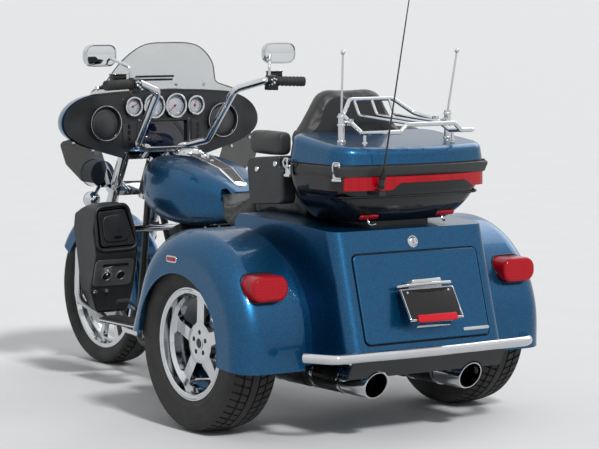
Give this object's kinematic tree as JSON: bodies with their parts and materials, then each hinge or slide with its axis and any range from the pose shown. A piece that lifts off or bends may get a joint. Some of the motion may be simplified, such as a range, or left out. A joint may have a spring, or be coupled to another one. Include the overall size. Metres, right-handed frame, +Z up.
{
  "type": "motorized trike",
  "caption": "Touring trike with a raked front fork and fairing, V-twin engine, stepped seats, wide rear mudguards, a boot and a top case with a luggage rack.",
  "frame": {"origin": "on the floor at the middle of the overall length and width", "axes": "+X ahead, +Y to the rider's left, +Z up"},
  "size_m": [2.7337, 1.39, 1.7423],
  "materials": {
    "blue_paint": "gloss metallic",
    "tyre": "matt",
    "wheel_metal": "polished",
    "disc_steel": "brushed",
    "chrome": "bright",
    "spindle_steel": "satin",
    "frame_steel": "satin black",
    "engine": "satin",
    "black_plastic": "matt",
    "seat_vinyl": "soft",
    "red_lens": "clear red",
    "windshield": "clear",
    "smoked": "smoked",
    "aerial": "satin"
  },
  "bodies": {
    "chassis": {"mudguards": "blue_paint", "boot": "blue_paint", "case_body": "blue_paint", "fuel_tank": "blue_paint", "side_covers": "blue_paint", "bumper": "chrome", "exhausts": "chrome", "tank_console": "chrome", "engine_guard": "chrome", "air_cleaner": "chrome", "frame": "frame_steel", "rear_axle": "frame_steel", "battery_box": "frame_steel", "crankcase": "engine", "cylinders": "engine", "leg_shields": "black_plastic", "speaker_pods": "black_plastic", "case_plinth": "black_plastic", "valance": "black_plastic", "footboards": "black_plastic", "rider_seat": "seat_vinyl", "pillion_seat": "seat_vinyl", "backrest": "seat_vinyl", "arm_pads": "seat_vinyl", "tail_lamps": "red_lens", "case_lamp": "red_lens", "whip_aerial": "aerial"},
    "front_wheel": {"front_tyre": "tyre", "front_rim": "wheel_metal", "front_discs": "disc_steel"},
    "rear_wheel_left": {"rear_tyre_left": "tyre", "rear_rim_left": "wheel_metal"},
    "rear_wheel_right": {"rear_tyre_right": "tyre", "rear_rim_right": "wheel_metal"},
    "steering": {"fork": "chrome", "front_axle": "spindle_steel", "front_calipers": "chrome", "front_fender": "blue_paint", "fairing_shell": "blue_paint", "headlamp": "chrome", "handlebar": "chrome", "grips": "black_plastic", "hand_controls": "chrome", "mirrors": "chrome", "fairing_dash": "black_plastic", "windshield": "windshield", "wind_deflectors": "smoked", "light_bar": "chrome"},
    "boot_door": {"boot_door": "blue_paint", "plate_holder": "chrome"},
    "case_lid": {"case_lid": "blue_paint", "luggage_rack": "chrome"},
    "glovebox_left": {"glovebox_door_left": "black_plastic"},
    "glovebox_right": {"glovebox_door_right": "black_plastic"}
  },
  "joints": [
    {"name": "steering", "type": "hinge", "parent": "chassis", "child": "steering", "pos_m": [1.14745, 0, 0], "axis": [-0.454, 0, 0.891], "range_deg": [-28, 28]},
    {"name": "front_wheel_spin", "type": "hinge", "parent": "steering", "child": "front_wheel", "pos_m": [1.04745, 0, 0.3195], "axis": [0, 1, 0], "continuous": true},
    {"name": "rear_wheel_left_spin", "type": "hinge", "parent": "chassis", "child": "rear_wheel_left", "pos_m": [-0.62255, 0.57, 0.3235], "axis": [0, 1, 0], "continuous": true},
    {"name": "rear_wheel_right_spin", "type": "hinge", "parent": "chassis", "child": "rear_wheel_right", "pos_m": [-0.62255, -0.57, 0.3235], "axis": [0, 1, 0], "continuous": true},
    {"name": "boot_door_hinge", "type": "hinge", "parent": "chassis", "child": "boot_door", "pos_m": [-1.19951, 0, 0.35027], "axis": [0, -1, 0], "range_deg": [0, 80]},
    {"name": "case_lid_hinge", "type": "hinge", "parent": "chassis", "child": "case_lid", "pos_m": [-0.92255, -0.345, 0.985], "axis": [1, 0, 0], "range_deg": [0, 75]},
    {"name": "glovebox_left_hinge", "type": "hinge", "parent": "chassis", "child": "glovebox_left", "pos_m": [0.44145, 0.33, 0.577], "axis": [0, -1, 0], "range_deg": [0, 60]},
    {"name": "glovebox_right_hinge", "type": "hinge", "parent": "chassis", "child": "glovebox_right", "pos_m": [0.44145, -0.33, 0.577], "axis": [0, -1, 0], "range_deg": [0, 60]}
  ]
}
